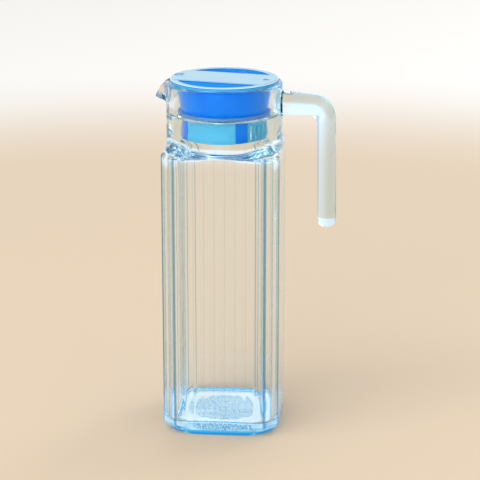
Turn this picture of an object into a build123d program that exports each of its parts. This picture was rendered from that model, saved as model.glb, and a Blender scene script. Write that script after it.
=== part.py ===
from build123d import *
import os
from math import atan2, cos, degrees, radians, sin, sqrt

# Glass serving jug with a turning lid. Sizes are in millimetres, +Z is up, the jug stands on z = 0,
# the handle is on the +X side and the beak on the -X side.

# Jug body
body_width = 85.0
corner_bevel = 9.5
body_height = 210.0
side_wall = 3.8
floor_thickness = 8.0
inner_corner_radius = 14.0
inner_heel_radius = 6.0
heel_height = 12.0
heel_inset = 1.5
heel_corner_radius = 25.0
heel_round = 1.5
foot_recess_radius = 27.0
foot_recess_depth = 1.2

# Shallow upright flutes on the inside of the four sides
flute_count = 7
flute_margin = 12.1
flute_depth = 0.45

# Shoulder, neck and rim
shoulder_rise = 12.0
neck_inset = 0.5
neck_length = 35.8
neck_wall = 5.0
rim_round = 2.0
mouth_depth = 23.5
ledge_width = 4.8
flare_inset = 0.5
flare_lip = 0.1
ceiling_drop = 0.5
ceiling_slope = 0.12
pour_channel_width = 20.0
pour_channel_height = 13.0
pour_channel_wall = 5.8

# Beak
beak_reach = 8.0
beak_droop = 11.8
beak_depth = 13.9
beak_root_radius = 16.0
beak_tip_radius = 2.2
beak_wall = 2.2
beak_channel_tip = 0.2
beak_shoulder_share = 0.6
beak_shoulder_droop = 0.47
beak_crest_share = 0.78
beak_crest_droop = 0.69

# Handle
handle_reach = 40.0
handle_width = 15.0
arm_top_drop = 6.5
arm_height = 17.4
arm_fall = 3.4
grip_thickness = 13.8
grip_lean = 1.3
handle_drop = 107.3
handle_outer_radius = 17.0
handle_inner_radius = 5.0
handle_edge_round = 4.6
grip_end_share = 0.48

# Lid
lid_angle = -12.0
cover_thickness = 2.2
cover_seat = 2.3
cover_edge_round = 0.8
cup_clearance = 1.0
cup_wall = 1.6
cup_floor = 1.8
cup_foot_step = 0.5
grip_bar_width = 34.6
grip_bar_wall = 1.5
band_rise = 0.4
band_margin = 0.8
mark_rise = 0.25
frame_mark_margin = 5.0
frame_mark_size = 6.0
frame_mark_line = 0.9
arrow_mark_margin = 8.3
arrow_mark_radius = 3.0

# Skirt under the lid, its strainer and its seal
skirt_clearance = 0.5
skirt_depth = 15.7
skirt_wall = 1.3
skirt_relief = 0.3
foot_ring_height = 4.7
foot_ring_wall = 1.8
top_ring_height = 1.8
post_angle = 51.5
post_width = 8.0
post_depth = 3.5
seal_height = 3.2
seal_groove_depth = 2.3
seal_groove_wall = 1.6
seal_clearance = 0.3
seal_overlap = 1.4
seal_round = 0.6
slot_count = 11
slot_width = 1.8
slot_angle = 7.66
slot_margin = 1.6

# Sizes that follow from those above. Cutters run past a face by beyond, and bite into what they join.
body_half = body_width / 2
bore_half = body_half - side_wall
flute_width = 2 * (bore_half - flute_margin) / flute_count
shoulder_top = body_height + shoulder_rise
rim_height = shoulder_top + neck_length
neck_radius = body_half - neck_inset
mouth_radius = neck_radius - neck_wall
throat_radius = mouth_radius - ledge_width
ledge_height = rim_height - mouth_depth
mouth_foot_round = ledge_width - seal_overlap - seal_clearance
ceiling_height = body_height - ceiling_drop
flare_radius = bore_half - flare_inset
flare_round = flare_radius - throat_radius - flare_lip
cavity_reach = (bore_half - inner_corner_radius) * sqrt(2) + inner_corner_radius
ceiling_foot = ceiling_height - (cavity_reach - flare_radius) * ceiling_slope
cup_foot_height = ledge_height + seal_height
cup_top_radius = mouth_radius - cup_clearance
skirt_radius = throat_radius - skirt_clearance
cup_foot_radius = skirt_radius - cup_foot_step
well_radius = cup_top_radius - cup_wall
cover_radius = mouth_radius + cover_seat
frame_mark_offset = cover_radius - frame_mark_margin
arrow_mark_offset = cover_radius - arrow_mark_margin
cover_top = rim_height + cover_thickness
bar_half = grip_bar_width / 2
skirt_bottom = ledge_height - skirt_depth
wall_top = ledge_height - top_ring_height
wall_bottom = skirt_bottom + foot_ring_height
groove_radius = skirt_radius - seal_groove_depth
beak_root_x = neck_radius - beak_root_radius
beak_tip_x = neck_radius + beak_reach - beak_tip_radius
beyond = 5.0
bite = 1.0
neck_foot = ceiling_foot - bite


def tube(outer, inner, low, high):
    ring = Circle(outer) - Circle(inner)
    return extrude(Pos(0, 0, low) * ring, high - low)


def disc(radius, low, high):
    return extrude(Pos(0, 0, low) * Circle(radius), high - low)


def turned(points):
    """Solid of revolution about Z from (radius, height) points."""
    return revolve(Plane.XZ * make_face(Polyline(*points, close=True)), Axis.Z)


def wedge(start, end, radius, low, high):
    """Pie slice about Z between two angles under 180 degrees apart."""
    reach = radius / cos(radians((end - start) / 2))
    corners = [(reach * cos(radians(a)), reach * sin(radians(a))) for a in (start, end)]
    slice_face = make_face(Polyline((0, 0), *corners, close=True))
    return extrude(Pos(0, 0, low) * slice_face, high - low)


def corner_points(half, bevel):
    """Corners of a bevelled square, in turn about Z."""
    flat = half - bevel
    quarter = [(half, -flat), (half, flat)]
    points = []
    for turn in range(4):
        c, s = cos(radians(90 * turn)), sin(radians(90 * turn))
        points += [(x * c - y * s, x * s + y * c) for x, y in quarter]
    return points


def bevelled_square(half, bevel):
    return make_face(Polyline(*corner_points(half, bevel), close=True))


def split_circle(radius, points):
    """Disc whose edge is split where the given points face it."""
    angles = [degrees(atan2(y, x)) for x, y in points]
    arcs = []
    for i, start in enumerate(angles):
        sweep_angle = (angles[(i + 1) % len(angles)] - start) % 360
        arcs.append(CenterArc((0, 0), radius, start, sweep_angle))
    return make_face(arcs)


def rounded_square(half, corner):
    return RectangleRounded(2 * half, 2 * half, corner)


def body_outside():
    """Bevelled square column on a rounder heel, with a shoulder that runs up to the round neck."""
    section = bevelled_square(body_half, corner_bevel)
    column = extrude(Pos(0, 0, heel_height) * section, body_height - heel_height)
    foot = rounded_square(body_half - heel_inset, heel_corner_radius)
    sole = rounded_square(body_half - heel_inset - heel_round, heel_corner_radius - heel_round)
    sole_band = loft([sole, Pos(0, 0, heel_round) * foot], ruled=True)
    heel = loft([Pos(0, 0, heel_round) * foot, Pos(0, 0, heel_height) * section], ruled=True)
    neck_section = split_circle(neck_radius, corner_points(body_half, corner_bevel))
    shoulder = loft([Pos(0, 0, body_height) * section, Pos(0, 0, shoulder_top) * neck_section], ruled=True)
    neck = disc(neck_radius, shoulder_top, rim_height)
    neck = fillet(neck.faces().sort_by(Axis.Z)[-1].edges(), rim_round)
    return sole_band + heel + column + shoulder + neck


def flutes():
    """Shallow hollows side by side along each inner side."""
    flute_radius = (flute_width**2 / 4 + flute_depth**2) / (2 * flute_depth)
    centre = bore_half + flute_depth - flute_radius
    hollows = Sketch()
    for turn in range(4):
        for i in range(flute_count):
            across = (i - (flute_count - 1) / 2) * flute_width
            hollows += Rot(0, 0, 90 * turn) * Pos(centre, across) * Circle(flute_radius)
    return hollows


def body_cavity():
    """Square cavity with a round heel, flutes above it and a sloping ceiling."""
    section = Pos(0, 0, floor_thickness) * rounded_square(bore_half, inner_corner_radius)
    square_part = extrude(section, ceiling_height - floor_thickness)
    square_part = fillet(square_part.faces().sort_by(Axis.Z)[0].edges(), inner_heel_radius)
    flute_foot = floor_thickness + inner_heel_radius
    square_part += extrude(Pos(0, 0, flute_foot) * flutes(), ceiling_height - flute_foot)
    far = body_half * sqrt(2)
    slope_foot = ceiling_height - (far - flare_radius) * ceiling_slope
    ceiling = turned(
        [
            (0, 0),
            (far, 0),
            (far, slope_foot),
            (flare_radius, ceiling_height),
            (0, ceiling_height),
        ]
    )
    return square_part & ceiling


def neck_bore():
    """Narrow throat flared at its foot, a ledge, and a wide mouth with a round foot."""
    mouth_foot = (mouth_radius, ledge_height)
    throat_foot = (throat_radius, ceiling_height)
    outline = make_face(
        Polyline(
            (0, ceiling_height - bite),
            (flare_radius, ceiling_height - bite),
            (flare_radius, ceiling_height),
            throat_foot,
            (throat_radius, ledge_height),
            mouth_foot,
            (mouth_radius, rim_height + beyond),
            (0, rim_height + beyond),
            close=True,
        )
    )
    outline = fillet(outline.vertices().sort_by_distance(mouth_foot)[0], mouth_foot_round)
    outline = fillet(outline.vertices().sort_by_distance(throat_foot)[0], flare_round)
    return revolve(Plane.XZ * outline, Axis.Z)


def pour_channel():
    """Groove through the ledge on the beak side, from the throat up to the mouth."""
    low = ledge_height - pour_channel_height
    high = ledge_height + mouth_foot_round
    reach = neck_radius - pour_channel_wall
    groove = Pos(-reach / 2, 0, (low + high) / 2) * Box(reach, pour_channel_width, high - low)
    return groove & disc(reach, low, high)


def beak_plan(root, tip):
    """Pointed plan outline from inside the neck to the tip, round at both ends."""
    circles = Pos(-beak_root_x, 0) * Circle(root) + Pos(-beak_tip_x, 0) * Circle(tip)
    return make_hull(circles.edges())


def beak_side(points):
    """Side outline, as wide as the neck, to meet the plan outline."""
    return extrude(Plane.XZ * make_face(Polyline(*points, close=True)), neck_radius, both=True)


def beak_outside():
    """Drooping lip that grows out of the neck."""
    start = -(mouth_radius + neck_wall / 2)
    shoulder_x = -(neck_radius + beak_reach * beak_shoulder_share)
    side = beak_side(
        [
            (start, rim_height - rim_round / 2),
            (-neck_radius, rim_height - rim_round / 2),
            (shoulder_x, rim_height - beak_droop * beak_shoulder_droop),
            (-(neck_radius + beak_reach), rim_height - beak_droop),
            (-neck_radius, rim_height - beak_depth),
            (start, rim_height - beak_depth),
        ]
    )
    plan = beak_plan(beak_root_radius, beak_tip_radius)
    return side & extrude(Pos(0, 0, ledge_height) * plan, rim_height - ledge_height)


def beak_channel():
    """Open channel from the mouth, whose floor rises to the crest of the lip."""
    crest_drop = beak_droop * beak_crest_droop
    side = beak_side(
        [
            (0, rim_height + beyond),
            (0, rim_height - beak_droop),
            (-mouth_radius, rim_height - beak_droop),
            (-(neck_radius + beak_reach * beak_crest_share), rim_height - crest_drop),
            (-(neck_radius + beak_reach), rim_height - crest_drop + beyond),
            (-(neck_radius + beak_reach), rim_height + beyond),
        ]
    )
    plan = beak_plan(beak_root_radius - beak_wall, beak_channel_tip)
    return side & extrude(Pos(0, 0, ledge_height) * plan, rim_height + beyond - ledge_height)


def glass_vessel():
    """Pressed glass vessel in one: square body, shoulder, round neck and beak."""
    vessel = body_outside() + beak_outside()
    vessel = vessel - body_cavity() - neck_bore() - pour_channel() - beak_channel()
    return vessel - disc(foot_recess_radius, 0, foot_recess_depth)


def between(solid, low, high):
    """What lies between two heights."""
    across = 2 * (body_width + beak_reach)
    return solid & Pos(0, 0, (low + high) / 2) * Box(across, across, high - low)


def jug_handle():
    """Open hook of glass, fused to the neck at its root only."""
    root_x = mouth_radius + neck_wall / 2
    outer_x = neck_radius + handle_reach
    inner_x = outer_x - grip_thickness
    top = rim_height - arm_top_drop
    under = top - arm_height
    bottom = rim_height - handle_drop
    outer_corner = (outer_x - grip_lean, top - arm_fall)
    inner_corner = (inner_x - grip_lean, under)
    end_middle = (outer_x - grip_thickness / 2, bottom)
    outline = make_face(
        Polyline(
            (root_x, top),
            outer_corner,
            (outer_x, bottom),
            (inner_x, bottom),
            inner_corner,
            (root_x, under),
            close=True,
        )
    )
    outline = fillet(outline.vertices().sort_by_distance(outer_corner)[0], handle_outer_radius)
    outline = fillet(outline.vertices().sort_by_distance(inner_corner)[0], handle_inner_radius)
    outline = fillet(outline.vertices().sort_by_distance(end_middle)[:2], grip_thickness * grip_end_share)
    bar = extrude(Plane.XZ * outline, handle_width / 2, both=True)
    side_edges = bar.faces().filter_by(Axis.Y).edges()
    bar = fillet(side_edges.filter_by(lambda edge: edge.center().X > root_x + bite), handle_edge_round)
    return bar - disc(neck_radius, 0, rim_height + beyond)


def bar_slab(half, reach, low, high):
    """Block along the lid's grip bar."""
    return Pos(0, 0, (low + high) / 2) * Box(2 * reach, 2 * half, high - low)


def mark_frame():
    """Raised outlined square on the beak end of the grip bar."""
    hole = frame_mark_size - 2 * frame_mark_line
    outline = Rectangle(frame_mark_size, frame_mark_size) - Rectangle(hole, hole)
    return Pos(-frame_mark_offset, 0, cover_top + band_rise) * extrude(outline, mark_rise)


def mark_arrow():
    """Raised triangle on the handle end of the grip bar."""
    arrow = RegularPolygon(arrow_mark_radius, 3)
    return Pos(arrow_mark_offset, 0, cover_top + band_rise) * extrude(arrow, mark_rise)


def lid_cover():
    """Disc with a raised grip bar across it and a finger well open on each side."""
    plate = disc(cover_radius, rim_height, cover_top)
    plate = fillet(plate.edges().sort_by(Axis.Z)[-1], cover_edge_round)
    wells = disc(well_radius, rim_height, cover_top) - bar_slab(bar_half, cover_radius, rim_height, cover_top)
    band = bar_slab(bar_half - band_margin, cover_radius, cover_top, cover_top + band_rise)
    band = band & disc(cover_radius - 2 * band_margin, cover_top, cover_top + band_rise)
    floor_top = cup_foot_height + cup_floor
    webs = bar_slab(bar_half, cover_radius, floor_top, rim_height)
    webs = webs - bar_slab(bar_half - grip_bar_wall, cover_radius, floor_top, rim_height)
    webs = webs & cup_inside()
    return plate - wells + band + webs + mark_frame() + mark_arrow()


def cup_inside():
    """Space inside the cup, from its floor to the cover."""
    floor_top = cup_foot_height + cup_floor
    foot = cup_foot_radius - cup_wall
    return turned([(0, floor_top), (foot, floor_top), (well_radius, rim_height), (0, rim_height)])


def lid_cup():
    """Tapered cup under the cover, whose foot presses on the seal."""
    outside = turned(
        [
            (0, cup_foot_height),
            (cup_foot_radius, cup_foot_height),
            (cup_top_radius, rim_height),
            (0, rim_height),
        ]
    )
    return outside - cup_inside()


def posts():
    """Four uprights at the corners of the skirt."""
    middle = Pos(skirt_radius - post_depth / 2, 0, (skirt_bottom + wall_top) / 2)
    post = middle * Box(post_depth, post_width, wall_top - skirt_bottom)
    angles = [post_angle, 180 - post_angle, 180 + post_angle, -post_angle]
    row = [Rot(0, 0, angle) * post for angle in angles]
    return (row[0] + row[1] + row[2] + row[3]) & disc(skirt_radius, skirt_bottom, wall_top)


def open_side(low, high, turn):
    """Slice between the two posts on one side of the skirt."""
    return Rot(0, 0, turn) * wedge(-post_angle, post_angle, skirt_radius, low, high)


def pour_skirt():
    """Skirt in the throat: posts, a closed wall front and back, and an open window to the beak."""
    groove_inner = groove_radius - seal_groove_wall
    neck = tube(groove_radius, groove_inner, ledge_height, cup_foot_height)
    top_ring = tube(skirt_radius, groove_inner, wall_top, ledge_height)
    wall_outer = skirt_radius - skirt_relief
    wall = tube(wall_outer, wall_outer - skirt_wall, wall_bottom, wall_top)
    wall = wall - open_side(wall_bottom, wall_top, 180) - open_side(wall_bottom, wall_top, 0)
    foot_ring = tube(skirt_radius, skirt_radius - foot_ring_wall, skirt_bottom, wall_bottom)
    foot_ring = foot_ring - open_side(skirt_bottom, wall_bottom, 0)
    return neck + top_ring + wall + foot_ring + posts()


def strainer():
    """Slotted wall between the two posts on the handle side."""
    outer = skirt_radius - skirt_relief
    plate = tube(outer, outer - skirt_wall, skirt_bottom, wall_top) & open_side(skirt_bottom, wall_top, 0)
    slot_height = wall_top - skirt_bottom - 2 * slot_margin
    for i in range(slot_count):
        turn = (i - (slot_count - 1) / 2) * slot_angle
        slot = Pos(outer, 0, (skirt_bottom + wall_top) / 2) * Box(2 * post_depth, slot_width, slot_height)
        plate -= Rot(0, 0, turn) * slot
    return plate - posts()


def seal_ring():
    """Soft ring in the groove above the skirt, resting on the ledge of the neck."""
    ring = tube(throat_radius + seal_overlap, groove_radius + seal_clearance, ledge_height, cup_foot_height)
    outer_edges = ring.edges().filter_by(GeomType.CIRCLE).sort_by(SortBy.LENGTH)[-2:]
    return fillet(outer_edges, seal_round)


turned_with_lid = {
    "lid_cover": lid_cover,
    "lid_cup": lid_cup,
    "pour_skirt": pour_skirt,
    "strainer": strainer,
    "seal_ring": seal_ring,
}

# The vessel is one piece of glass, kept as a body and a neck that meet under the shoulder.
glass = glass_vessel()
os.makedirs("parts", exist_ok=True)
export_step(between(glass, 0, neck_foot), "parts/jug_body.step")
export_step(between(glass, neck_foot, rim_height), "parts/jug_neck.step")
export_step(jug_handle(), "parts/jug_handle.step")
for name, make_piece in turned_with_lid.items():
    export_step(Rot(0, 0, lid_angle) * make_piece(), f"parts/{name}.step")
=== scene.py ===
"""Glass serving jug with a turning blue lid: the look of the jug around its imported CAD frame."""
import math

import bmesh
import bpy
import numpy as np
from bpy.props import FloatProperty, FloatVectorProperty, IntProperty, PointerProperty
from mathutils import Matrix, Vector


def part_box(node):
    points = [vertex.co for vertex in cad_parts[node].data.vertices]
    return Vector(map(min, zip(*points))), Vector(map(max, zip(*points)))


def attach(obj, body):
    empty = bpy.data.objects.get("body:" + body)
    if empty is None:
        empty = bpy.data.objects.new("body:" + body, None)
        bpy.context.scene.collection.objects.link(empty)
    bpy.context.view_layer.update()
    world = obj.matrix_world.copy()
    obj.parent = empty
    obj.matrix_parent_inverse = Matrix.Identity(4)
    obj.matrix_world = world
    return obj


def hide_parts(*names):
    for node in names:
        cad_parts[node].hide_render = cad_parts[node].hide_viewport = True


bl_info = {
    "name": "Glass jug",
    "version": (1, 0, 0),
    "blender": (4, 5, 0),
    "location": "3D View > Sidebar > Glass jug",
    "description": "Builds a square glass serving jug with an open hook handle and a turning blue lid",
    "category": "Add Mesh",
}

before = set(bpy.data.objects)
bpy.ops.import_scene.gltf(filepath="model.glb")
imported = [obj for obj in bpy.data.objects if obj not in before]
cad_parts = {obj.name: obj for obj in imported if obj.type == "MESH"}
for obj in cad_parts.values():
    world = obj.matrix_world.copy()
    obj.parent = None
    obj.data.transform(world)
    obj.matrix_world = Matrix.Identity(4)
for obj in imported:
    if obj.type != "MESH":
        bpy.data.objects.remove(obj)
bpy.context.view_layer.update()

# Vessel. Sizes here are in millimetres, and MM turns them into metres
MM = 0.001
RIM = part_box("jug_neck")[1].z / MM
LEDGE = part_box("seal_ring")[0].z / MM
BODY_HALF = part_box("jug_body")[1].y / MM
INNER_CORNER = 14.0
SOLE_INSET, SOLE_CORNER = 3.0, 23.5
FOOT_INSET, FOOT_CORNER = 1.5, 25.0
SOLE_ROUND, HEEL_RISE = 1.5, 7.0
RECESS_EDGE, KNURL_START, KNURL_TEETH = 25.6, 29.0, 72
SHOULDER_FOOT, SHOULDER_RISE = 210.0, 12.0
CEILING, CEILING_SLOPE, FLARE_ROUND, FLARE_RADIUS = 209.5, 0.12, 5.9, 38.2
LEDGE_WIDTH = 4.8
GROOVE_HALF, GROOVE_END = 10.0, 36.2
# Times x + y, it puts a bevelled corner as far out as a side
CORNER_SHARE = 0.606

# Beak: its side and the angle that it takes up, its flanks and nose seen from above, and how it droops
BEAK_SIDE = math.pi
BEAK_SWING, NOSE_SWING = math.radians(30), math.radians(1.98)
BEAK_TAPER, LIP_FLANK, CHANNEL_FLANK = 0.8177, 41.92, 39.08
NOSE_CENTRE, NOSE_ROUND, BEAK_END, CHANNEL_END = 47.8, 2.2, 49.95, 47.6
DROOP_AT, DROOP = (41.3, 42.3, 44.5, 46.8, 48.6, 50.0), (0, 1.0, 3.0, 5.5, 8.4, 11.4)

# Hook handle, seen from the side
HANDLE_ROOT, HANDLE_OUTER, HANDLE_THICK, HANDLE_LEAN = 39.5, 81.9, 13.7, 1.3
HANDLE_TOP = RIM - 6.5
HANDLE_UNDER = HANDLE_TOP - 17.4
HANDLE_END = RIM - 107.3
HANDLE_END_ROUND = 6.6

# Lid, in metres and radians
COVER_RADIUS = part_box("lid_cover")[1].y
COVER_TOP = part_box("lid_cover")[1].z
LID_ANGLE = math.radians(-12)
POST_ANGLE = math.radians(51.5)

# Colours of small places, among them painted shade along the handle and a painted highlight on the cover's
# edge, the colour of reflections in the glass, and the room as it is seen and as it lights
CUSP_TINT = (0.86, 0.92, 0.95)
# Painted shade: dark lines along the back and the inner side of the handle
HANDLE_EDGE_SHADE = (0.30, 0.42, 0.60)
# Painted highlight on the outer edge of the cover
COVER_EDGE_HIGHLIGHT = (0.72, 0.92, 1.0)
KNURL_TINT = (0.16, 0.30, 0.42)
STIPPLE_TINT = (0.22, 0.50, 0.68)
SPECULAR_TINT = (0.06, 0.16, 0.3, 1)
SEEN_WHITE = (0.97, 0.97, 0.96, 1)
ROOM_LIGHT = 0.84


class GlassSizes(bpy.types.PropertyGroup):
    """Sizes of the pressed glass, in metres."""

    edge_round: FloatProperty(
        name="Edge rounding",
        description="Radius of the upright edges",
        default=0.0011,
        unit="LENGTH",
    )
    corner_bevel: FloatProperty(
        name="Corner bevel",
        description="How much each corner is cut back",
        default=0.0095,
        unit="LENGTH",
    )
    side_wall: FloatProperty(
        name="Side wall", description="Thickness of the four sides", default=0.0038, unit="LENGTH"
    )
    flute_count: IntProperty(
        name="Flutes per side", description="Shallow upright flutes inside each side", default=7
    )
    flute_width: FloatProperty(
        name="Flute width", description="Width of one flute", default=0.0076, unit="LENGTH"
    )
    flute_depth: FloatProperty(
        name="Flute depth", description="Depth of one flute", default=0.00045, unit="LENGTH"
    )
    neck_radius: FloatProperty(
        name="Neck radius", description="Outer radius of the round neck", default=0.042, unit="LENGTH"
    )
    neck_wall: FloatProperty(
        name="Neck wall", description="Thickness of the glass at the mouth", default=0.005, unit="LENGTH"
    )
    handle_width: FloatProperty(
        name="Handle width", description="Width of the hook handle", default=0.015, unit="LENGTH"
    )


class Finishes(bpy.types.PropertyGroup):
    """Colours of the glass, the lid and the floor, and of the painted light and shade laid on them."""

    glass_tint: FloatVectorProperty(
        name="Glass tint",
        description="Colour that thick glass takes up",
        subtype="COLOR",
        default=(0.17, 0.71, 0.93),
    )
    glass_density: FloatProperty(
        name="Glass density", description="How strongly thick glass is tinted", default=12.0
    )
    lid_blue: FloatVectorProperty(
        name="Lid blue",
        description="Translucent blue of the cup and the skirt",
        subtype="COLOR",
        default=(0.0, 0.27, 1.0),
    )
    azure: FloatVectorProperty(
        name="Azure",
        description="Light blue of the skirt's walls and the strainer",
        subtype="COLOR",
        default=(0.14, 0.63, 1.0),
    )
    web_blue: FloatVectorProperty(
        name="Well blue",
        description="Side faces of the cover, around its finger wells",
        subtype="COLOR",
        default=(0.03, 0.50, 1.0),
    )
    # Pale top faces of the cover: part frosted plastic, part painted glare; its side faces keep the true blue
    cover_frost_and_glare: FloatVectorProperty(
        name="Cover blue",
        description="Pale blue of the cover",
        subtype="COLOR",
        default=(0.38, 0.71, 0.92),
    )
    # Dark blue of the raised marks, also laid as a painted shadow line under the cover's top edge
    marks_and_shadow_line_blue: FloatVectorProperty(
        name="Mark blue",
        description="Raised marks on the cover",
        subtype="COLOR",
        default=(0.02, 0.22, 0.60),
    )
    # Painted shade: dark teal laid along the upright edges of the glass, where long paths through thick glass
    # and dark reflections darken it
    edge_painted_shade: FloatVectorProperty(
        name="Edge tint",
        description="Colour of the upright glass edges",
        subtype="COLOR",
        default=(0.10, 0.34, 0.60),
    )
    handle_tint: FloatVectorProperty(
        name="Handle tint",
        description="Faint cyan of the solid handle",
        subtype="COLOR",
        default=(0.85, 0.93, 0.98),
    )
    # Painted glow: the handle's glass glows along its inner side though it is no lamp
    handle_painted_glow: FloatVectorProperty(
        name="Handle light",
        description="Light that the solid handle gathers along its inner side",
        subtype="COLOR",
        default=(0.062, 0.095, 0.13),
    )
    # Painted reflection: the lid's blue laid on the top of the neck's rim
    rim_lid_reflection: FloatVectorProperty(
        name="Rim tint",
        description="Blue that the rim of the neck takes up from the lid",
        subtype="COLOR",
        default=(0.30, 0.62, 0.95),
    )
    foot_tint: FloatVectorProperty(
        name="Foot tint",
        description="Colour of the glass at the foot's rim",
        subtype="COLOR",
        default=(0.10, 0.62, 1.0),
    )
    etching: FloatVectorProperty(
        name="Etched foot",
        description="Frosted glass of the underside",
        subtype="COLOR",
        default=(0.95, 0.99, 1.0),
    )
    # Painted glow: the white foot skin glows though it is no lamp
    foot_painted_glow: FloatProperty(
        name="Foot light", description="Light that the thick foot gathers from around it", default=0.38
    )
    seal: FloatVectorProperty(
        name="Seal", description="Colour of the soft seal", subtype="COLOR", default=(0.20, 0.50, 0.95)
    )
    floor: FloatVectorProperty(
        name="Floor", description="Floor near the jug", subtype="COLOR", default=(0.73, 0.59, 0.44)
    )
    backdrop: FloatVectorProperty(
        name="Backdrop",
        description="Floor and room far away",
        subtype="COLOR",
        default=(0.94, 0.935, 0.92),
    )


def polar(points, angles):
    """Distance from the axis to a closed outline, given as dense points, at each angle."""
    p = np.array(points)
    a = np.arctan2(p[:, 1], p[:, 0])
    order = np.argsort(a)
    a, r = a[order], np.hypot(p[:, 0], p[:, 1])[order]
    return np.interp(angles, a, r, period=2 * math.pi)


def rounded_outline(corners, radius, spacing=0.2):
    """Dense points along a convex polygon with round corners."""
    out = []
    count = len(corners)
    corners = [np.array(c, float) for c in corners]
    for i in range(count):
        before, here, after = corners[i - 1], corners[i], corners[(i + 1) % count]
        u = (before - here) / np.linalg.norm(before - here)
        v = (after - here) / np.linalg.norm(after - here)
        half = math.acos(float(np.clip(u @ v, -1, 1))) / 2
        centre = here + (u + v) / np.linalg.norm(u + v) * radius / math.sin(half)
        start, end = here + u * radius / math.tan(half), here + v * radius / math.tan(half)
        a0 = math.atan2(*(start - centre)[::-1])
        sweep = (math.atan2(*(end - centre)[::-1]) - a0 + math.pi) % (2 * math.pi) - math.pi
        for t in np.linspace(0, 1, 14):
            a = a0 + sweep * t
            out.append(centre + radius * np.array([math.cos(a), math.sin(a)]))
        nxt = corners[(i + 2) % count]
        w = (nxt - after) / np.linalg.norm(nxt - after)
        half_next = math.acos(float(np.clip(-v @ w, -1, 1))) / 2
        stop = after - v * radius / math.tan(half_next)
        steps = max(2, int(np.linalg.norm(stop - end) / spacing))
        for t in np.linspace(0, 1, steps)[1:-1]:
            out.append(end + (stop - end) * t)
    return out


def square(half):
    """Corners of a square."""
    return [(half, -half), (half, half), (-half, half), (-half, -half)]


def bevelled(half, bevel):
    """Corners of a square whose own corners are cut back."""
    flat = half - bevel
    return [
        (half, -flat), (half, flat), (flat, half), (-flat, half),
        (-half, flat), (-half, -flat), (-flat, -half), (flat, -half),
    ]


def rounded_profile(keys, segments=5):
    """Rings through (radius, height, rounding) keys, with each rounded key turned into a curve."""
    rings = []
    last = len(keys) - 1
    even = np.zeros_like(keys[0][0])
    points = [np.stack([r + even, z + even]) for r, z, _ in keys]
    for i, (_, _, rounding) in enumerate(keys):
        here = points[i]
        if i in (0, last) or rounding <= 0:
            rings.append(here)
            continue
        before, after = points[i - 1] - here, points[i + 1] - here
        len_b, len_a = np.hypot(*before), np.hypot(*after)
        len_b, len_a = np.maximum(len_b, 1e-6), np.maximum(len_a, 1e-6)
        cosine = np.clip((before * after).sum(0) / (len_b * len_a), -1, 1)
        half = np.arccos(cosine) / 2
        reach = rounding / np.maximum(np.tan(half), 1e-3)
        reach = np.minimum(np.maximum(reach, 0.02), 0.47 * np.minimum(len_b, len_a))
        start, end = here + before / len_b * reach, here + after / len_a * reach
        weight = np.maximum(np.sin(half), 0.3)
        for t in np.linspace(0, 1, segments + 1):
            a, b, c = (1 - t) ** 2, 2 * t * (1 - t) * weight, t**2
            rings.append((a * start + b * here + c * end) / (a + b + c))
    return rings


def new_piece(name, verts, faces, material, body=None, slot=None):
    """Object from points in millimetres, which may ride on a body."""
    mesh = bpy.data.meshes.new(name)
    mesh.from_pydata((np.asarray(verts, float) * MM).tolist(), [], faces)
    mesh.validate()
    mesh.update()
    mesh.materials.append(material)
    piece = bpy.data.objects.new(name, mesh)
    bpy.context.scene.collection.objects.link(piece)
    if body:
        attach(piece, body)
    return piece


def ring_faces(rings, columns):
    """Faces between rings of equal length, each closed on itself."""
    faces = []
    for i in range(rings - 1):
        a, b = i * columns, (i + 1) * columns
        for j in range(columns):
            after = (j + 1) % columns
            faces.append((a + j, a + after, b + after, b + j))
    return faces


def capped_rings(rings):
    """Points and faces of a closed skin through rings of equal length, with a point at both ends."""
    count, columns = len(rings), len(rings[0])
    verts = np.concatenate([np.concatenate(rings), rings[0].mean(0)[None], rings[-1].mean(0)[None]])
    faces = ring_faces(count, columns)
    first, final = count * columns, count * columns + 1
    base = (count - 1) * columns
    faces += [(first, (j + 1) % columns, j) for j in range(columns)]
    faces += [(final, base + j, base + (j + 1) % columns) for j in range(columns)]
    return verts, faces


def outward(mesh):
    """Face normals point out of the solid, and shading is smooth but for true edges."""
    bm = bmesh.new()
    bm.from_mesh(mesh)
    bmesh.ops.remove_doubles(bm, verts=bm.verts, dist=2e-6)
    bmesh.ops.dissolve_degenerate(bm, edges=bm.edges, dist=1e-6)
    bmesh.ops.recalc_face_normals(bm, faces=bm.faces)
    bm.to_mesh(mesh)
    bm.free()
    mesh.shade_smooth()
    mesh.set_sharp_from_angle(angle=math.radians(32))


def united(piece, other):
    """Joins other into piece as one solid."""
    cut = piece.modifiers.new("fuse", "BOOLEAN")
    cut.operation, cut.solver, cut.object = "UNION", "EXACT", other
    graph = bpy.context.evaluated_depsgraph_get()
    mesh = bpy.data.meshes.new_from_object(piece.evaluated_get(graph))
    piece.modifiers.clear()
    old, piece.data = piece.data, mesh
    bpy.data.meshes.remove(old)
    bpy.data.objects.remove(other)
    return piece


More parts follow.
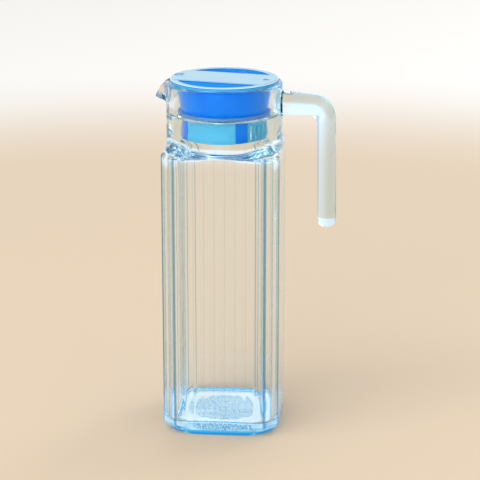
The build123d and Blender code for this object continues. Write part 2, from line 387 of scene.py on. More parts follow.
def vessel_angles(sizes):
    """Angles of the upright columns of the mesh: even, and closer at edges, flutes and the beak."""
    even_step, edge_spread, beak_spread, beak_step, least_step = 1.0, 1.2, 19.0, 0.5, 0.12
    angles = list(np.radians(np.arange(0, 360, even_step)))
    half, flat = BODY_HALF, BODY_HALF - sizes.corner_bevel / MM
    for turn in range(4):
        quarter = math.pi / 2 * turn
        for y, x in ((flat, half), (half, flat)):
            corner = quarter + math.atan2(y, x)
            angles += [corner + math.radians(d) for d in np.linspace(-edge_spread, edge_spread, 9)]
        for i in range(sizes.flute_count + 1):
            y = (i - sizes.flute_count / 2) * sizes.flute_width / MM
            angles.append(quarter + math.atan2(y, half - sizes.side_wall / MM))
    across_beak = np.arange(-beak_spread, beak_spread + 0.01, beak_step)
    angles += [BEAK_SIDE + math.radians(d) for d in across_beak]
    angles = np.sort(np.mod(np.array(angles), 2 * math.pi))
    keep = np.diff(np.append(angles, angles[0] + 2 * math.pi)) > math.radians(least_step)
    return angles[keep]


def inner_section(sizes, angles):
    """Rounded square with shallow flutes side by side on each side."""
    half = BODY_HALF - sizes.side_wall / MM
    base = polar(rounded_outline(square(half), INNER_CORNER), angles)
    width, depth = sizes.flute_width / MM, sizes.flute_depth / MM
    x = np.abs(base * np.cos(angles))
    y = np.abs(base * np.sin(angles))
    across = np.minimum(x, y)
    on_side = across < sizes.flute_count * width / 2
    place = (across / width + sizes.flute_count / 2) % 1.0
    bulge = depth * (1 - (2 * place - 1) ** 2)
    fade = np.clip((sizes.flute_count * width / 2 - across) / 1.0, 0, 1)
    stretch = base / np.maximum(np.maximum(x, y), 1e-6)
    return base + np.where(on_side, bulge * fade * stretch, 0)


def smooth_step(x):
    """Soft rise from 0 to 1."""
    x = np.clip(x, 0, 1)
    return x * x * (3 - 2 * x)


def off_beak(angles):
    """How far each angle is from the middle of the beak."""
    return (angles - BEAK_SIDE + math.pi) % (2 * math.pi) - math.pi


def soft_gain(gain, blend):
    """Gain where it is positive, and nothing elsewhere, with a soft start."""
    return 0.5 * (gain + np.sqrt(gain**2 + blend**2)) - 0.02


def beak_lines(off, neck, mouth):
    """Outer and inner edge of the lip at each angle off the beak's middle."""
    near = np.abs(off) < BEAK_SWING
    swing = np.where(near, np.abs(off), BEAK_SWING)
    slant = (np.tan(swing) + BEAK_TAPER) * np.cos(swing)
    side = NOSE_CENTRE * np.sin(swing)
    nose = NOSE_CENTRE * np.cos(swing) + np.sqrt(np.maximum(NOSE_ROUND**2 - side**2, 0))
    hull = np.where(swing < NOSE_SWING, nose, np.minimum(LIP_FLANK / slant, BEAK_END - 0.05))
    outer = neck + np.where(near, soft_gain(hull - neck, 1.2), 0)
    outer = np.where(near, np.minimum(outer, BEAK_END), neck)
    channel = np.minimum(CHANNEL_FLANK / slant, CHANNEL_END)
    inner = mouth + np.where(near, np.maximum(soft_gain(channel - mouth, 0.6), 0), 0)
    return outer, inner


def level(radius, height):
    """One ring of the vessel: its radius at each angle, all at one height."""
    return np.stack([radius, np.full_like(radius, height)])


def placed(rings, angles):
    """Rings of points in space from radius and height at each angle."""
    return [np.stack([r * np.cos(angles), r * np.sin(angles), z], 1) for r, z in rings]


def sole_outline(angles):
    """Rounded square on which the jug stands."""
    return polar(rounded_outline(square(BODY_HALF - SOLE_INSET), SOLE_CORNER), angles)


def underside_rings(a, sole):
    """Stippled recess under the foot, then a knurled ring around it."""
    recess_height, bump, pitch, calm = 1.15, 0.28, 2.1, 2.0
    rings = []
    for r in np.append(np.arange(0.8, RECESS_EDGE - 0.4, 0.9), RECESS_EDGE):
        x, y = r * np.cos(a), r * np.sin(a)
        bumps = np.sin(x * pitch) * np.sin(y * pitch)
        fade = smooth_step((RECESS_EDGE - 0.6 - r) / calm)
        rings.append(np.stack([np.full_like(a, r), recess_height - bump * bumps * fade]))
    step_out = ((26.4, 0.9), (27.0, 0.4), (27.6, 0.05), (KNURL_START, 0.05))
    rings += [level(np.full_like(a, r), z) for r, z in step_out]
    notches = 0.5 * smooth_step(0.5 - 0.9 * np.cos(KNURL_TEETH * a))
    for share, depth in ((0.25, 1.0), (0.5, 1.0), (0.8, 1.0), (0.92, 0.0)):
        rings.append(np.stack([KNURL_START + (sole - KNURL_START) * share, 0.05 + notches * depth]))
    return rings


def etching_rings(sizes):
    """Thin dish just inside the glass, over the underside and up the foot's rim."""
    a = vessel_angles(sizes)
    sole = sole_outline(a)
    under = underside_rings(a, sole)
    low = [np.stack([r, z + 0.1]) for r, z in under]
    high = [np.stack([r, z + 0.25]) for r, z in under]
    for out, z in ((0.1, 0.75), (0.6, 1.5), (0.9, 2.6), (1.1, 3.8)):
        low.append(level(sole + out, z))
        high.append(level(sole + out - 0.2, z + 0.1))
    return placed(high + low[::-1], a)


def foot_and_column(section, foot, sole):
    """Rounded sole, the heel that swells to the bevelled square, and the upright column."""
    rings = []
    for t in np.linspace(0, 1, 5):
        turn = math.pi / 2 * t
        rings.append(level(sole + (foot - sole) * math.sin(turn), SOLE_ROUND * (1 - math.cos(turn))))
    for t in np.linspace(0, 1, 10)[1:]:
        share = math.sin(math.pi / 2 * t)
        rings.append(level(foot + (section - foot) * share, SOLE_ROUND + HEEL_RISE * t))
    return rings + [level(section, z) for z in (13.5, 60.0, 110.0, 160.0, 207.0)]


def shoulder_keys(section, neck):
    """Shoulder that blends the square into the round neck."""
    keys = [(section, 207.5, 0)]
    for t in np.linspace(0, 1, 9):
        radius = neck + (section - neck) * (1 - t) ** 1.6
        keys.append((radius, SHOULDER_FOOT + SHOULDER_RISE * t, 1.4 if t == 0 else 0))
    return keys


def lip_keys(off, neck, mouth):
    """Outside of the neck, the drooping lip with its channel, and the top of the mouth."""
    lip, channel = beak_lines(off, neck, mouth)
    lip_along, channel_along = lip * np.cos(off), channel * np.cos(off)
    has_channel = smooth_step((channel - mouth) / 1.5)
    lip_top = RIM - np.interp(lip_along, DROOP_AT, DROOP)
    channel_top = RIM - np.interp(channel_along, DROOP_AT, DROOP)
    under = RIM - 14.0 + (lip - neck) * 0.22
    floor_drop = np.interp(channel_along, [37.0, 48.2], [11.8, 8.3])
    return [
        (neck, 226.0, 0),
        (neck, RIM - 18.5, 0),
        (neck, RIM - 14.2, 2.6),
        (lip, under, 1.1),
        (lip, lip_top, 2.0),
        (channel, channel_top, 0.7),
        (channel - 0.15 * has_channel, RIM - (6.0 + (floor_drop - 6.0) * has_channel), 0.9),
        (mouth, RIM - 12.6, 2.5),
    ]


def bore_keys(off, mouth):
    """Mouth, the ledge with its pour groove, the throat and its round flare."""
    throat = mouth - LEDGE_WIDTH
    groove = np.clip(GROOVE_HALF / np.maximum(np.abs(np.sin(off)), 1e-3), throat, GROOVE_END)
    groove = np.where(np.abs(off) < math.pi / 2, groove, throat)
    has_groove = (groove - throat) / (GROOVE_END - throat)
    keys = [
        (mouth, LEDGE + 7.0, 0),
        (mouth - 0.4 * has_groove, LEDGE, 3.0),
        (groove, LEDGE - 0.05, 0.6),
        (groove, LEDGE - 12.2, 1.0),
        (throat, LEDGE - 13.6, 0.6),
    ]
    for t in [math.radians(d) for d in range(0, 91, 15)]:
        keys.append((throat + FLARE_ROUND * (1 - math.cos(t)), CEILING + FLARE_ROUND * (1 - math.sin(t)), 0))
    return keys


def cavity_keys(inside):
    """Flat ceiling, fluted sides and the rounded floor of the cavity."""
    keys = [(inside, CEILING - (inside - FLARE_RADIUS) * CEILING_SLOPE, 2.2)]
    keys += [(inside, z, 0) for z in (198.0, 150.0, 100.0, 50.0, 17.0)]
    return keys + [
        (inside, 8.0, 6.0),
        (inside * 0.62, 8.15, 0),
        (inside * 0.3, 8.4, 0),
        (np.full_like(inside, 1.2), 8.5, 0),
    ]


def vessel_rings(sizes):
    """Rings of points up the outside of the vessel, over the rim and down the inside."""
    a = vessel_angles(sizes)
    off = off_beak(a)
    neck, mouth = sizes.neck_radius / MM, (sizes.neck_radius - sizes.neck_wall) / MM
    corners = bevelled(BODY_HALF, sizes.corner_bevel / MM)
    section = polar(rounded_outline(corners, sizes.edge_round / MM), a)
    foot = polar(rounded_outline(square(BODY_HALF - FOOT_INSET), FOOT_CORNER), a)
    sole = sole_outline(a)
    keys = shoulder_keys(section, neck) + lip_keys(off, neck, mouth)
    keys += bore_keys(off, mouth) + cavity_keys(inner_section(sizes, a))
    rings = underside_rings(a, sole) + foot_and_column(section, foot, sole) + rounded_profile(keys)
    return placed(rings, a)


def run(start, stop, count):
    """Points evenly along a straight line, both ends included."""
    return [start + (stop - start) * t for t in np.linspace(0, 1, count)]


def fillet(before, corner, after, radius, count):
    """Points of the arc that rounds a corner between two straight lines."""
    u = (before - corner) / np.linalg.norm(before - corner)
    v = (after - corner) / np.linalg.norm(after - corner)
    half = math.acos(float(u @ v)) / 2
    centre = corner + (u + v) / np.linalg.norm(u + v) * radius / math.sin(half)
    start = corner + u * radius / math.tan(half) - centre
    end = corner + v * radius / math.tan(half) - centre
    first, last = math.atan2(start[1], start[0]), math.atan2(end[1], end[0])
    sweep = (last - first + math.pi) % (2 * math.pi) - math.pi
    turns = [first + sweep * t for t in np.linspace(0, 1, count)]
    return [centre + radius * np.array([math.cos(turn), math.sin(turn)]) for turn in turns]


def hook_line(x, arm_height, corner_height, radius):
    """Side view of one line of the hook: along the arm, round the corner and down the grip."""
    root, corner = np.array([HANDLE_ROOT, arm_height]), np.array([x - HANDLE_LEAN, corner_height])
    arc = fillet(root, corner, np.array([x, HANDLE_END]), radius, 14)
    grip = run(arc[-1], np.array([x, HANDLE_END + HANDLE_END_ROUND]), 14)
    return run(root, arc[0], 10)[:-1] + arc + grip[1:]


def handle_rings(sizes):
    """Rounded bar that follows the hook and closes in a round end."""
    outer = hook_line(HANDLE_OUTER, HANDLE_TOP, HANDLE_TOP - 3.4, 17.0)
    inner = hook_line(HANDLE_OUTER - HANDLE_THICK, HANDLE_UNDER, HANDLE_UNDER, 5.0)
    half_width = sizes.handle_width / MM / 2
    turn = np.linspace(0, 2 * math.pi, 44, endpoint=False)
    power = 2 / 2.6
    cross = np.sign(np.cos(turn)) * np.abs(np.cos(turn)) ** power
    lift = np.sign(np.sin(turn)) * np.abs(np.sin(turn)) ** power
    rings = []
    for i, (o, n) in enumerate(zip(outer, inner)):
        middle, reach = (o + n) / 2, (o - n) / 2
        near_root = min(max(0.0, 1 - (middle[0] - 42.0) / 6.0), 1.0) if i < 9 else 0.0
        swell = 1 + 0.10 * near_root**2
        wide = half_width * (1 + 0.12 * near_root**2)
        x = middle[0] + reach[0] * swell * lift
        z = middle[1] + reach[1] * swell * lift
        rings.append(np.stack([x, wide * cross, z], 1))
    for t in np.linspace(0, 1, 8)[1:]:
        shrink = math.cos(math.pi / 2 * min(t, 0.985)) ** 0.9
        z = HANDLE_END + HANDLE_END_ROUND * (1 - math.sin(math.pi / 2 * t))
        x = middle[0] + reach[0] * shrink * lift
        rings.append(np.stack([x, half_width * shrink * cross, np.full_like(x, z)], 1))
    return rings


def moulding_group():
    """Slow ripple and fine grain of a pressed or moulded surface, with smudges."""
    group = bpy.data.node_groups.new("moulded_surface", "ShaderNodeTree")
    inputs = (("Ripple Scale", 60.0), ("Grain Scale", 900.0), ("Grain Share", 0.2), ("Smudge Scale", 30.0))
    for label, value in inputs:
        socket = group.interface.new_socket(label, in_out="INPUT", socket_type="NodeSocketFloat")
        socket.default_value = value
    for label in ("Height", "Smudge"):
        group.interface.new_socket(label, in_out="OUTPUT", socket_type="NodeSocketFloat")
    nodes, links = group.nodes, group.links
    start, end = nodes.new("NodeGroupInput"), nodes.new("NodeGroupOutput")
    place = nodes.new("ShaderNodeTexCoord")
    ripple, grain, smudge = (nodes.new("ShaderNodeTexNoise") for _ in range(3))
    for noise, label in ((ripple, "Ripple Scale"), (grain, "Grain Scale"), (smudge, "Smudge Scale")):
        links.new(place.outputs["Object"], noise.inputs["Vector"])
        links.new(start.outputs[label], noise.inputs["Scale"])
    ripple.inputs["Detail"].default_value = 1.5
    smudge.inputs["Detail"].default_value = 5.0
    mix = nodes.new("ShaderNodeMix")
    links.new(start.outputs["Grain Share"], mix.inputs["Factor"])
    links.new(ripple.outputs["Fac"], mix.inputs["A"])
    links.new(grain.outputs["Fac"], mix.inputs["B"])
    links.new(mix.outputs["Result"], end.inputs["Height"])
    links.new(smudge.outputs["Fac"], end.inputs["Smudge"])
    return group


def moulding():
    """The shared moulded surface group, made once."""
    return bpy.data.node_groups.get("moulded_surface") or moulding_group()


def new_material(name):
    """Material with nodes, its links and its shader."""
    material = bpy.data.materials.new(name)
    material.use_nodes = True
    nodes = material.node_tree.nodes
    return material, nodes, material.node_tree.links, nodes["Principled BSDF"]


class Recipe:
    """A material under work: its nodes, and short ways to add masks and colours over the object's place."""

    def __init__(self, name):
        self.material, self.nodes, self.links, self.shader = new_material(name)
        self.spot = self.nodes.new("ShaderNodeTexCoord").outputs["Object"]

    def fill(self, socket, value):
        """Links a socket, or sets a plain number or colour."""
        if isinstance(value, bpy.types.NodeSocket):
            self.links.new(value, socket)
        elif hasattr(value, "__len__"):
            socket.default_value = (*value, 1)
        else:
            socket.default_value = value

    def spread(self, kind, value, off, on, results=(0.0, 1.0)):
        """Value mapped from off..on to the results."""
        node = self.nodes.new("ShaderNodeMapRange")
        node.interpolation_type = kind
        node.inputs["From Min"].default_value, node.inputs["From Max"].default_value = off, on
        node.inputs["To Min"].default_value, node.inputs["To Max"].default_value = results
        self.fill(node.inputs["Value"], value)
        return node.outputs["Result"]

    def surface(self, scales, bump, roughness):
        """Ripple, grain and smudges: bump is (strength, distance), roughness is (low, high)."""
        effect = self.nodes.new("ShaderNodeGroup")
        effect.node_tree = moulding()
        for label, value in zip(("Ripple Scale", "Grain Scale", "Grain Share", "Smudge Scale"), scales):
            effect.inputs[label].default_value = value
        bumps = self.nodes.new("ShaderNodeBump")
        bumps.inputs["Strength"].default_value, bumps.inputs["Distance"].default_value = bump
        self.links.new(effect.outputs["Height"], bumps.inputs["Height"])
        self.links.new(bumps.outputs["Normal"], self.shader.inputs["Normal"])
        smudge = effect.outputs["Smudge"]
        rough = self.spread("LINEAR", smudge, 0.35, 0.7, roughness)
        self.links.new(rough, self.shader.inputs["Roughness"])
        return smudge, rough

    def maths(self, operation, *values):
        """Result of one calculation."""
        node = self.nodes.new("ShaderNodeMath")
        node.operation = operation
        for socket, value in zip(node.inputs, values):
            self.fill(socket, value)
        return node.outputs[0]

    def place(self, turn=0.0):
        """Place on the object in metres, seen from axes turned about Z."""
        spin = self.nodes.new("ShaderNodeVectorRotate")
        spin.rotation_type = "Z_AXIS"
        spin.inputs["Angle"].default_value = -turn
        split = self.nodes.new("ShaderNodeSeparateXYZ")
        self.links.new(self.spot, spin.inputs["Vector"])
        self.links.new(spin.outputs["Vector"], split.inputs[0])
        return split.outputs["X"], split.outputs["Y"], split.outputs["Z"]

    def quarter(self, x, y):
        """Both distances without their sign, so that the four corners are alike."""
        return self.maths("ABSOLUTE", x), self.maths("ABSOLUTE", y)

    def away(self, x, y):
        """Straight distance from zero."""
        return self.maths("SQRT", self.maths("ADD", self.maths("POWER", x, 2.0), self.maths("POWER", y, 2.0)))

    def foot_reach(self, x, y):
        """Size of the bevelled square through a place, for x and y without their sign."""
        corner = self.maths("MULTIPLY", self.maths("ADD", x, y), CORNER_SHARE)
        return self.maths("MAXIMUM", self.maths("MAXIMUM", x, y), corner)

    def fade(self, value, off, on):
        """Mask that is 0 at off, 1 at on, and smooth between them."""
        if off > on:
            return self.spread("SMOOTHSTEP", value, on, off, (1.0, 0.0))
        return self.spread("SMOOTHSTEP", value, off, on)

    def band(self, value, middle, off, on):
        """Mask that is 1 where a value is within on of the middle, and 0 beyond off."""
        return self.fade(self.maths("ABSOLUTE", self.maths("SUBTRACT", value, middle)), off, on)

    def colour(self, mask, under, over, blend="MIX"):
        """One colour laid over another where the mask is 1."""
        node = self.nodes.new("ShaderNodeMix")
        node.data_type, node.blend_type = "RGBA", blend
        self.fill(node.inputs["Factor"], mask)
        self.fill(node.inputs[6], under)
        self.fill(node.inputs[7], over)
        return node.outputs[2]


def glass_colours(recipe, sizes, look):
    """Tint of the glass with painted shade at its edges and along the handle and a painted reflection of the
    lid at the rim, and the painted glow of the handle, from edge to foot to handle.
    """
    handle_side, y, z = recipe.place()
    x, y = recipe.quarter(handle_side, y)
    nearest, farthest = recipe.maths("MINIMUM", x, y), recipe.maths("MAXIMUM", x, y)
    along = recipe.maths("SUBTRACT", farthest, BODY_HALF * MM)
    across = recipe.maths("SUBTRACT", nearest, BODY_HALF * MM - sizes.corner_bevel)
    on_inside = recipe.band(along, 0.0002 - sizes.side_wall, 0.0009, 0.0006)
    flute = recipe.maths("FRACT", recipe.maths("DIVIDE", nearest, sizes.flute_width))
    cusp = recipe.maths("MULTIPLY", on_inside, recipe.band(flute, 0.5, 0.09, 0.03))
    tint = recipe.colour(cusp, (1, 1, 1), CUSP_TINT)
    # Painted shade along the upright edges of the glass
    tint = recipe.colour(recipe.fade(recipe.away(along, across), 0.0016, 0.0008), tint, look.edge_painted_shade)
    foot_rim = recipe.fade(recipe.foot_reach(x, y), 0.0378, 0.0386)
    low = recipe.maths("MULTIPLY", recipe.fade(z, 0.0040, 0.0015), foot_rim)
    tint = recipe.colour(low, tint, look.foot_tint)
    # Painted reflection of the lid's blue on the top of the rim
    tint = recipe.colour(recipe.fade(z, (RIM - 2.4) * MM, (RIM - 1.2) * MM), tint, look.rim_lid_reflection)

    on_handle = recipe.fade(handle_side, 0.043, 0.050)
    tint = recipe.colour(on_handle, tint, look.handle_tint)
    outer, inner = (HANDLE_OUTER + 0.1) * MM, (HANDLE_OUTER - HANDLE_THICK) * MM
    from_back = recipe.maths("MINIMUM", recipe.maths("SUBTRACT", outer, handle_side),
                             recipe.maths("SUBTRACT", HANDLE_TOP * MM, z))
    from_inside = recipe.maths("MAXIMUM", recipe.maths("SUBTRACT", handle_side, inner),
                               recipe.maths("SUBTRACT", z, HANDLE_UNDER * MM))
    # Painted shade: a dark line along the handle's back and inner side
    outline = recipe.fade(recipe.maths("MINIMUM", from_back, from_inside), 0.0012, 0.0005)
    tint = recipe.colour(recipe.maths("MULTIPLY", on_handle, outline), tint, HANDLE_EDGE_SHADE)
    # Painted glow along the inner side of the handle
    lit = recipe.maths("MULTIPLY", on_handle, recipe.fade(from_back, 0.0050, 0.0120))
    return tint, recipe.colour(lit, (0, 0, 0), look.handle_painted_glow), z


def glass_material(sizes, look):
    """Clear glass, with painted shade at its edges, blue at its foot, a painted reflection of the lid at its
    rim, a painted glow in the handle, and frosted underneath.
    """
    recipe = Recipe("pressed_glass")
    shader = recipe.shader
    shader.inputs["IOR"].default_value = 1.51
    shader.inputs["Specular Tint"].default_value = SPECULAR_TINT
    shader.inputs["Transmission Weight"].default_value = 1.0
    # Emission here is only the painted glow of the handle
    shader.inputs["Emission Strength"].default_value = 1.0
    _, smooth = recipe.surface((55.0, 400.0, 0.04, 25.0), (0.25, 0.0006), (0.0, 0.02))
    # light is the painted glow of the handle
    tint, light, z = glass_colours(recipe, sizes, look)
    recipe.links.new(tint, shader.inputs["Base Color"])
    recipe.links.new(light, shader.inputs["Emission Color"])
    frosted = recipe.maths("MULTIPLY", recipe.fade(z, 0.0016, 0.0012), 0.12)
    recipe.links.new(recipe.maths("MAXIMUM", smooth, frosted), shader.inputs["Roughness"])
    absorb = recipe.nodes.new("ShaderNodeVolumeAbsorption")
    absorb.inputs["Color"].default_value = (*look.glass_tint, 1)
    absorb.inputs["Density"].default_value = look.glass_density
    recipe.links.new(absorb.outputs["Volume"], recipe.nodes["Material Output"].inputs["Volume"])
    return recipe.material


def plastic_material(name, look, colour, roughness, zones=None,
                     transmission=0.0, glow=0.0, metal=0.0, painted_glow_strength=0.0):
    """Moulded plastic or frost, a little uneven in colour; zones adds colours over its places, and the last
    argument gives it a painted glow.
    """
    shade = 0.12
    recipe = Recipe(name)
    shader = recipe.shader
    shader.inputs["IOR"].default_value = 1.5
    shader.inputs["Specular IOR Level"].default_value = 0.25
    shader.inputs["Transmission Weight"].default_value = transmission
    shader.inputs["Metallic"].default_value = metal
    if glow:
        shader.inputs["Subsurface Weight"].default_value = glow
        shader.inputs["Subsurface Radius"].default_value = (0.3, 0.8, 1.0)
        shader.inputs["Subsurface Scale"].default_value = 0.004
    smudge, _ = recipe.surface((90.0, 2500.0, 0.35, 60.0), (0.12, 0.0003), roughness)
    tint = colour
    for mask, over in zones(recipe, look) if zones else ():
        tint = recipe.colour(mask, tint, over)
    uneven = recipe.colour(smudge, tint, (1 - shade, 1 - shade, 1 - shade), "MULTIPLY")
    recipe.links.new(uneven, shader.inputs["Base Color"])
    # Painted glow: the piece's own colour glows though it is no lamp
    if painted_glow_strength:
        recipe.links.new(uneven, shader.inputs["Emission Color"])
        shader.inputs["Emission Strength"].default_value = painted_glow_strength
    return recipe.material


def foot_zones(recipe, look):
    """Dashes around the foot, the seams of its stippled middle and its blue rim."""
    x, y, _ = recipe.place()
    turns = recipe.maths("MULTIPLY", recipe.maths("ARCTAN2", y, x), KNURL_TEETH / (2 * math.pi))
    dash = recipe.band(recipe.maths("FRACT", turns), 0.5, 0.34, 0.26)
    x, y = recipe.quarter(x, y)
    out = recipe.foot_reach(x, y)
    ring = recipe.band(out, 0.0362, 0.0013, 0.0007)
    yield recipe.maths("MULTIPLY", ring, dash), KNURL_TINT
    cells = recipe.nodes.new("ShaderNodeTexVoronoi")
    cells.feature = "DISTANCE_TO_EDGE"
    cells.inputs["Scale"].default_value = 420.0
    recipe.links.new(recipe.spot, cells.inputs["Vector"])
    middle = recipe.fade(recipe.away(x, y), 0.027, 0.025)
    seams = recipe.fade(cells.outputs["Distance"], 0.20, 0.05)
    yield recipe.maths("MULTIPLY", middle, seams), STIPPLE_TINT
    yield recipe.fade(out, 0.0384, 0.0388), look.foot_tint


def cover_zones(recipe, look):
    """Painted highlight on the outer edge, blue side faces with a painted shadow line under the top edge, and
    the raised marks.
    """
    x, y, z = recipe.place()
    # Painted highlight along the cover's outer edge
    edge = recipe.fade(recipe.away(x, y), COVER_RADIUS - 0.0012, COVER_RADIUS - 0.0009)
    yield edge, COVER_EDGE_HIGHLIGHT
    yield recipe.fade(z, COVER_TOP - 0.00095, COVER_TOP - 0.0011), look.web_blue
    yield recipe.fade(z, COVER_TOP - 0.0070, COVER_TOP - 0.0074), look.lid_blue
    # Painted shadow: a dark line just under the top edge of the cover
    yield recipe.band(z, COVER_TOP - 0.0012, 0.0004, 0.0002), look.marks_and_shadow_line_blue
    yield recipe.fade(z, COVER_TOP - 0.0002, COVER_TOP - 0.00015), look.marks_and_shadow_line_blue


def skirt_zones(recipe, look):
    """Four deep blue posts between the light walls."""
    x, y, _ = recipe.place(LID_ANGLE)
    x, y = recipe.quarter(x, y)
    angle = recipe.maths("ARCTAN2", y, x)
    yield recipe.band(angle, POST_ANGLE, math.radians(7.9), math.radians(7.6)), look.lid_blue


class JUG_OT_vessel(bpy.types.Operator):
    """Builds the glass body, neck, lip and handle as one piece of pressed glass, with its frosted foot, which
    has a painted glow
    """

    bl_idname = "glass_jug.vessel"
    bl_label = "Glass vessel and handle"

    def execute(self, context):
        sizes, look = context.scene.jug_glass, context.scene.jug_finishes
        glass = glass_material(sizes, look)
        vessel = new_piece("jug_glass", *capped_rings(vessel_rings(sizes)), glass)
        handle = new_piece("jug_handle_bar", *capped_rings(handle_rings(sizes)), glass)
        outward(vessel.data)
        outward(handle.data)
        united(vessel, handle)
        outward(vessel.data)
        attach(vessel, "jug")
        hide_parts("jug_body", "jug_neck", "jug_handle")
        # The frosted foot skin is white, part mirror, with a painted glow for the light in the thick foot
        frost = plastic_material("etched_foot", look, look.etching, (0.3, 0.4), foot_zones, metal=0.7,
                                 painted_glow_strength=look.foot_painted_glow)
        dish = capped_rings(etching_rings(sizes))
        etching = new_piece("jug_foot_etching", *dish, frost, "jug", "clear_glass")
        outward(etching.data)
        return {"FINISHED"}


def dress(node, material):
    """Gives a CAD node its material and softens its edges."""
    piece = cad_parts[node]
    piece.data.materials.clear()
    piece.data.materials.append(material)
    weld = piece.modifiers.new("weld", "WELD")
    weld.merge_threshold = 2e-6
    soften = piece.modifiers.new("soften", "BEVEL")
    soften.width, soften.segments = 0.00025, 2
    soften.limit_method, soften.angle_limit = "ANGLE", math.radians(40)
    soften.use_clamp_overlap = True


class JUG_OT_lid(bpy.types.Operator):
    """Gives the cover, cup, skirt and strainer their blue plastic, with a painted glow in the cup and skirt
    """

    bl_idname = "glass_jug.lid"
    bl_label = "Blue lid"

    def execute(self, context):
        look = context.scene.jug_finishes
        # lit is the strength of the painted glow of the cup and skirt, which glow though they are no lamp
        gloss, lit = (0.1, 0.2), 0.15
        # The cover's pale top is part frosted plastic and part painted glare
        dress("lid_cover", plastic_material("cover_plastic", look, look.cover_frost_and_glare, (0.12, 0.22), cover_zones,
                                            transmission=0.12))
        dress("lid_cup", plastic_material("cup_plastic", look, look.lid_blue, gloss, glow=1.0, painted_glow_strength=lit))
        dress("pour_skirt", plastic_material("skirt_plastic", look, look.azure, gloss, skirt_zones, glow=1.0,
                                             painted_glow_strength=lit))
        dress("strainer", plastic_material("strainer_plastic", look, look.azure, gloss, glow=1.0))
        return {"FINISHED"}


class JUG_OT_seal(bpy.types.Operator):
    """Gives the seal ring its soft silicone"""

    bl_idname = "glass_jug.seal"
    bl_label = "Seal ring"

    def execute(self, context):
        look = context.scene.jug_finishes
        dress("seal_ring", plastic_material("seal_silicone", look, look.seal, (0.35, 0.5), transmission=0.2))
        return {"FINISHED"}


class JUG_OT_stage(bpy.types.Operator):
    """Adds the pale floor, the soft light and the camera"""

    bl_idname = "glass_jug.stage"
    bl_label = "Floor, light and camera"

    def execute(self, context):
        look = context.scene.jug_finishes
        reach, height = 30000, -0.02
        corners = [(x, y, height) for x, y in square(reach)]
        floor = new_piece("floor", corners, [(0, 1, 2, 3)], floor_material(look))
        add_world(look)
        add_lamps()
        add_camera()
        # Light crosses many glass walls, and turns back many times in the thick foot
        light = context.scene.cycles
        light.max_bounces, light.transmission_bounces, light.glossy_bounces = 28, 24, 16
        return {"FINISHED"}


def seen_rays(nodes, links):
    """1 for what is seen straight on, in a reflection or through glass, and 0 for what only lights."""
    rays = nodes.new("ShaderNodeLightPath")
    direct, seen = nodes.new("ShaderNodeMath"), nodes.new("ShaderNodeMath")
    direct.operation = seen.operation = "MAXIMUM"
    links.new(rays.outputs["Is Camera Ray"], direct.inputs[0])
    links.new(rays.outputs["Is Glossy Ray"], direct.inputs[1])
    links.new(direct.outputs[0], seen.inputs[0])
    links.new(rays.outputs["Is Transmission Ray"], seen.inputs[1])
    return seen.outputs[0]


def floor_material(look):
    """Pale floor, warm near the jug, near white from a metre away and as white as the room far off."""
    recipe = Recipe("pale_floor")
    nodes, links, shader = recipe.nodes, recipe.links, recipe.shader
    away = nodes.new("ShaderNodeVectorMath")
    away.operation = "LENGTH"
    links.new(recipe.spot, away.inputs[0])
    distance = away.outputs["Value"]
    near_white = recipe.spread("SMOOTHERSTEP", distance, 0.7, 1.35)
    links.new(recipe.colour(near_white, look.floor, look.backdrop), shader.inputs["Base Color"])
    shader.inputs["Roughness"].default_value = 0.55
    shader.inputs["Specular IOR Level"].default_value = 0.25
    far = recipe.spread("SMOOTHERSTEP", distance, 1.3, 4.0)
    white = nodes.new("ShaderNodeEmission")
    white.inputs["Color"].default_value = SEEN_WHITE
    mix = nodes.new("ShaderNodeMixShader")
    links.new(recipe.maths("MULTIPLY", far, seen_rays(nodes, links)), mix.inputs["Fac"])
    links.new(shader.outputs[0], mix.inputs[1])
    links.new(white.outputs[0], mix.inputs[2])
    links.new(mix.outputs[0], nodes["Material Output"].inputs["Surface"])
    return recipe.material


def add_world(look):
    """Pale room that lights the jug from all sides and is seen as near white."""
    world = bpy.data.worlds.new("studio")
    bpy.context.scene.world = world
    world.use_nodes = True
    nodes, links = world.node_tree.nodes, world.node_tree.links
    light = nodes["Background"]
    light.inputs["Color"].default_value = (*look.backdrop, 1)
    light.inputs["Strength"].default_value = ROOM_LIGHT
    seen = nodes.new("ShaderNodeBackground")
    seen.inputs["Color"].default_value = SEEN_WHITE
    mix = nodes.new("ShaderNodeMixShader")
    links.new(seen_rays(nodes, links), mix.inputs["Fac"])
    links.new(light.outputs[0], mix.inputs[1])
    links.new(seen.outputs[0], mix.inputs[2])
    links.new(mix.outputs[0], nodes["World Output"].inputs["Surface"])


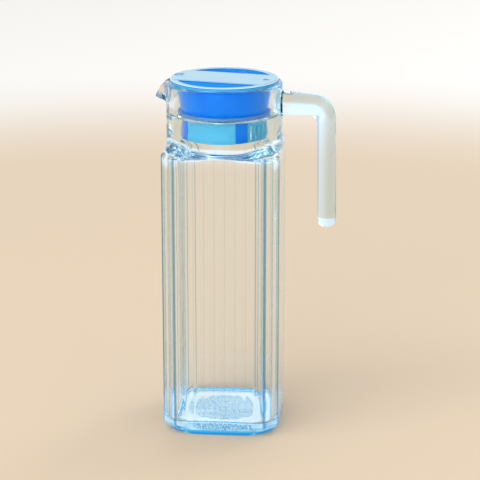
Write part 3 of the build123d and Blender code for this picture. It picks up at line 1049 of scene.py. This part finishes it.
def add_lamps():
    """Large soft lamps: one high on the left, one behind on the right and one low in front."""
    for name, place, size, power in (
        ("soft_left", (-1.6, -1.2, 2.2), 1.4, 20.0),
        ("soft_back", (1.5, 1.8, 1.6), 1.2, 14.0),
        ("soft_front", (-0.5, -2.0, 0.55), 1.3, 22.0),
    ):
        lamp = bpy.data.lights.new(name, "AREA")
        lamp.shape, lamp.size, lamp.size_y = "RECTANGLE", size, size * 1.3
        lamp.energy = power
        piece = bpy.data.objects.new(name, lamp)
        bpy.context.scene.collection.objects.link(piece)
        piece.location = place
        piece.rotation_euler = (Vector((0, 0, 0.12)) - Vector(place)).to_track_quat("-Z", "Y").to_euler()


def add_camera():
    """Camera at the photograph's angle: a long lens from 1.34 m away, a little towards the handle side."""
    focal, width = 1900.0, 480.0
    away, height, pitch = 1.343, 0.539, math.radians(16.62)
    azimuth, aside = math.radians(5.5), 16.0 / focal
    camera = bpy.data.cameras.new("camera")
    camera.sensor_width = 36.0
    camera.lens = focal / width * camera.sensor_width
    camera.clip_start, camera.clip_end = 0.05, 100.0
    piece = bpy.data.objects.new("camera", camera)
    bpy.context.scene.collection.objects.link(piece)
    piece.location = (away * math.sin(azimuth), -away * math.cos(azimuth), height)
    heading = azimuth - math.atan(aside)
    piece.rotation_euler = (math.pi / 2 - pitch, 0, heading)
    bpy.context.scene.camera = piece


class JUG_PT_panel(bpy.types.Panel):
    """Lists the jug's pieces in the sidebar"""

    bl_idname = "JUG_PT_panel"
    bl_label = "Glass jug"
    bl_space_type = "VIEW_3D"
    bl_region_type = "UI"
    bl_category = "Glass jug"

    def draw(self, context):
        for group in (context.scene.jug_glass, context.scene.jug_finishes):
            for name in group.__annotations__:
                self.layout.prop(group, name)
        for step in STEPS:
            self.layout.operator(step.bl_idname)


STEPS = (JUG_OT_vessel, JUG_OT_lid, JUG_OT_seal, JUG_OT_stage)
CLASSES = (GlassSizes, Finishes, *STEPS, JUG_PT_panel)


def register():
    """Makes the classes and the scene's own sizes and colours known."""
    for item in CLASSES:
        bpy.utils.register_class(item)
    bpy.types.Scene.jug_glass = PointerProperty(type=GlassSizes)
    bpy.types.Scene.jug_finishes = PointerProperty(type=Finishes)


def unregister():
    """Takes them away again."""
    del bpy.types.Scene.jug_glass
    del bpy.types.Scene.jug_finishes
    for item in reversed(CLASSES):
        bpy.utils.unregister_class(item)


def main():
    """Builds the jug piece by piece."""
    register()
    bpy.ops.glass_jug.vessel()
    bpy.ops.glass_jug.lid()
    bpy.ops.glass_jug.seal()
    bpy.ops.glass_jug.stage()
    bpy.context.scene.view_settings.view_transform = "Standard"


if __name__ == "__main__":
    main()
